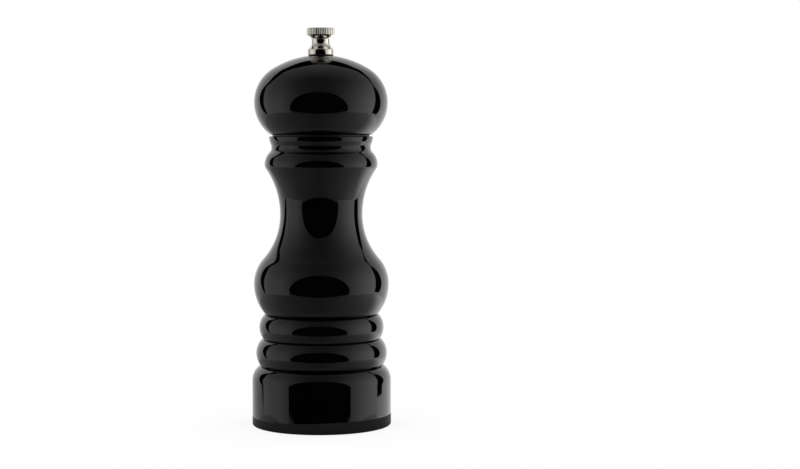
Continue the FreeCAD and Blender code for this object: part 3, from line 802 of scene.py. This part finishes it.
def turnTo(y, share, lean=0.0):    # degrees from the front to where the oval reaches the line y + lean * x
    s = tentShape
    across = lean * s["halfWidth"]
    reach = (s["middleY"] - y) / (share * math.hypot(s["halfDepth"], across))
    return math.degrees(math.atan2(across, s["halfDepth"]) + math.acos(max(-1.0, min(1.0, reach))))


def slitAt(slit, z):    # both edges run smoothly through the slit's rows; below the first row it is closed
    if z < slit[0][0]:
        return slit[0][1], slit[0][1]
    last = len(slit) - 1
    k = 0
    while k < last - 1 and slit[k + 1][0] < z:
        k += 1
    before, low, high, after = slit[max(0, k - 1)], slit[k], slit[k + 1], slit[min(last, k + 2)]
    step = high[0] - low[0]
    u = min(1.0, (z - low[0]) / step)
    edges = []
    for i in (1, 2):
        startSlope = step * (high[i] - before[i]) / (high[0] - before[0])
        endSlope = step * (after[i] - low[i]) / (after[0] - low[0])
        rise = low[i] - high[i]
        edges.append(low[i] + u * (startSlope + u * (-3 * rise - 2 * startSlope - endSlope
                                                     + u * (2 * rise + startSlope + endSlope))))
    return edges


def pitchTent():
    s = tentShape
    steps, low = s["steps"], s["floorZ"]
    bendZ = s["topZ"] - s["shoulder"]
    roofShare = 1 - s["shoulder"] / s["halfDepth"]
    upright = [(z, 1.0) for z in spaced(low, bendZ, steps)]    # height and share of the oval, row by row
    bend = []
    for a in spaced(0.0, math.pi / 2, s["bendSteps"]):
        bend.append((bendZ + s["shoulder"] * math.sin(a), roofShare + (1 - roofShare) * math.cos(a)))
    wall, back = makeWallGlow(), makeBackGlow()
    for side, sign, slit in (("left", -1, leftSlit), ("right", 1, rightSlit)):
        archEdge = s["archMiddle"] + sign * s["archHalf"]
        wallRows, roofRows, backRows = [], [], []
        for z, share in upright:
            near = slitAt(slit, z)[0]
            wallRows.append(tentRow(archEdge, sign * turnTo(near, share), z, share))
        for z, share in bend:
            near = slitAt(slit, z)[0]
            roofRows.append(tentRow(s["archMiddle"], sign * turnTo(near, share), z, share))
        for z, share in upright + bend[1:]:
            far = slitAt(slit, z)[1]
            if z <= s["backTopZ"]:
                backRows.append(tentRow(sign * turnTo(far, share), sign * 180, z, share))
        lean = sign * s["roofEdgeLean"]
        closing = (s["roofEdgeY"] - s["middleY"]) / math.hypot(s["halfDepth"], lean * s["halfWidth"])
        for share in spaced(roofShare, closing, s["roofSteps"]) + [s["roofTip"]]:
            end = sign * turnTo(s["roofEdgeY"], share, lean)
            roofRows.append(tentRow(s["archMiddle"], end, s["topZ"], share))
        stageCard(side + "Wall", wallRows, wall)
        stageCard(side + "Roof", roofRows, wall)
        stageCard(side + "Back", backRows, back)
    front, floor = [], []
    for k in range(steps + 1):
        out = -math.cos(math.pi * k / steps)
        lip = s["archApex"] * (1 - abs(out) ** s["archFullness"]) ** s["archShoulder"]
        front.append([onTent(s["archMiddle"] + s["archHalf"] * out, z) for z in (lip, bendZ)])
        x, near, _ = onTent(90 * out, low)
        edgeY = s["apronY"] if abs(x) < s["apronHalf"] else near    # straight across the opening
        floor.append([(x, edgeY, low), (x, 2 * s["middleY"] - near, low)])
    stageCard("frontWall", front, wall)
    stageCard("tentFloor", floor, makeFloorGlow())


pitchTent()
print("tent pitched")


roomShape = dict(half=1500.0, shade=0.001)


def buildRoom():    # what shows through the tent's slits and under its arch
    h, shade = roomShape["half"], roomShape["shade"]
    dark, tree = emptyFinish("darkRoom")
    black = put(tree, "BsdfDiffuse", {"Color": (shade, shade, shade, 1.0)})
    wire(tree, black, "BSDF", put(tree, "OutputMaterial"), "Surface")
    around = [(-h, -h), (h, -h), (h, h), (-h, h), (-h, -h)]
    stageCard("roomWalls", [[(x, y, z) for x, y in around] for z in (-h, h)], dark)
    for name, z in (("roomFloor", -h), ("roomCeiling", h)):
        stageCard(name, [[(-h, -h, z), (h, -h, z)], [(-h, h, z), (h, h, z)]], dark)


buildRoom()
print("dark room built")


softBoxes = dict(compass=(45, 135, 225, 315), reach=400.0, height=270.0, aim=85.0, size=300.0, watts=0.95)


def hangSoftBoxes():    # even light for the matt pieces; the gloss shows the tent alone
    s = softBoxes
    target = Vector((0.0, 0.0, s["aim"] * mm))
    for degrees in s["compass"]:
        lamp = bpy.data.lights.new("softBox%d" % degrees, "AREA")
        lamp.size = s["size"] * mm
        lamp.energy = s["watts"]
        box = bpy.data.objects.new(lamp.name, lamp)
        a = math.radians(degrees)
        box.location = (s["reach"] * math.sin(a) * mm, -s["reach"] * math.cos(a) * mm, s["height"] * mm)
        box.rotation_euler = (target - box.location).to_track_quat("-Z", "Y").to_euler()
        box.visible_camera = False
        box.visible_glossy = False
        bpy.context.scene.collection.objects.link(box)


hangSoftBoxes()
print("soft boxes hung:", len(softBoxes["compass"]))


# the stand disc is a dark grey seen only in gloss: painted shade of the floor round the mill's foot
floorLook = dict(half=3.0, colour=(0.86, 0.86, 0.855), shadowShare=0.15, shadowReach=(0.03, 0.075),
                 shadeDiscMiddle=(0.003, -0.005, 0.0), shadeDiscRadius=0.045, shadeDiscColour=(0.25, 0.25, 0.25))


def layFloor():
    look = floorLook
    h = look["half"]
    mesh = bpy.data.meshes.new("paleFloor")
    mesh.from_pydata([(-h, -h, 0), (h, -h, 0), (h, h, 0), (-h, h, 0)], [], [(0, 1, 2, 3)])
    finish, tree = emptyFinish("paleFloor")
    mesh.materials.append(finish)
    matt = put(tree, "BsdfDiffuse", {"Color": (*look["colour"], 1.0)})
    white = put(tree, "Emission", {"Strength": 1.0})
    clear = put(tree, "BsdfTransparent")
    # dark grey disc for the gloss alone: painted shade of the floor round the foot
    shadeDisc = put(tree, "BsdfDiffuse", {"Color": (*look["shadeDiscColour"], 1.0)})
    rays = put(tree, "LightPath")
    coords = put(tree, "TexCoord")
    distance = put(tree, "VectorMath", operation="LENGTH")
    wire(tree, coords, "Object", distance, 0)
    # a share of matt floor near the foot, fading out with distance: real shadow and a faint painted shade
    # ring
    fade = between(tree, distance, "Value", *look["shadowReach"], look["shadowShare"], 0.0)
    fromShadeDisc = put(tree, "VectorMath", {1: look["shadeDiscMiddle"]}, operation="DISTANCE")
    wire(tree, coords, "Object", fromShadeDisc, 0)
    offShadeDisc = put(tree, "Math", {1: look["shadeDiscRadius"]}, operation="GREATER_THAN")
    wire(tree, fromShadeDisc, "Value", offShadeDisc, 0)

    def choose(share, shareSocket, first, second):
        mix = put(tree, "MixShader")
        wire(tree, share, shareSocket, mix, 0)
        tree.links.new(first.outputs[0], mix.inputs[1])
        tree.links.new(second.outputs[0], mix.inputs[2])
        return mix

    seen = choose(fade, "Result", white, matt)    # to the camera: white, with the lit matt floor mixed in near the foot: the mill's real soft shadow, plus a faint painted shade ring where the matt is dimmer than white
    plain = choose(rays, "Is Camera Ray", matt, seen)
    mirrored = choose(offShadeDisc, "Value", shadeDisc, clear)    # to the gloss: a grey disc round the foot, painted shade of the floor there, then the tent's floor
    final = choose(rays, "Is Glossy Ray", plain, mirrored)
    wire(tree, final, "Shader", put(tree, "OutputMaterial"), "Surface")
    floor = bpy.data.objects.new("paleFloor", mesh)
    bpy.context.scene.collection.objects.link(floor)


layFloor()
print("floor laid")


def lightWorld():    # white to the camera, in gloss and through clear pieces; no light of its own
    world = bpy.data.worlds.new("whiteRoom")
    bpy.context.scene.world = world
    world.use_nodes = True
    tree = world.node_tree
    tree.nodes.clear()
    rays = put(tree, "LightPath")
    shown = put(tree, "Math", operation="MAXIMUM")
    wire(tree, rays, "Is Camera Ray", shown, 0)
    wire(tree, rays, "Is Glossy Ray", shown, 1)
    shownToo = put(tree, "Math", operation="MAXIMUM")
    wire(tree, shown, "Value", shownToo, 0)
    wire(tree, rays, "Is Transmission Ray", shownToo, 1)
    background = put(tree, "Background", {"Color": (1.0, 1.0, 1.0, 1.0)})
    wire(tree, shownToo, "Value", background, "Strength")
    wire(tree, background, "Background", put(tree, "OutputWorld"), "Surface")


lightWorld()
print("world lit")


view = dict(place=(0.0339, -0.7745, 0.1316), downDegrees=3.65, lens=81.0, sensor=36.0, nearest=0.01)


def setCamera():
    lensData = bpy.data.cameras.new("photoCamera")
    lensData.lens = view["lens"]
    lensData.sensor_width = view["sensor"]
    lensData.clip_start = view["nearest"]
    camera = bpy.data.objects.new("photoCamera", lensData)
    camera.location = view["place"]
    camera.rotation_euler = (math.radians(90 - view["downDegrees"]), 0.0, 0.0)
    bpy.context.scene.collection.objects.link(camera)
    bpy.context.scene.camera = camera


setCamera()
bpy.context.scene.view_settings.view_transform = "Standard"
print("camera set")
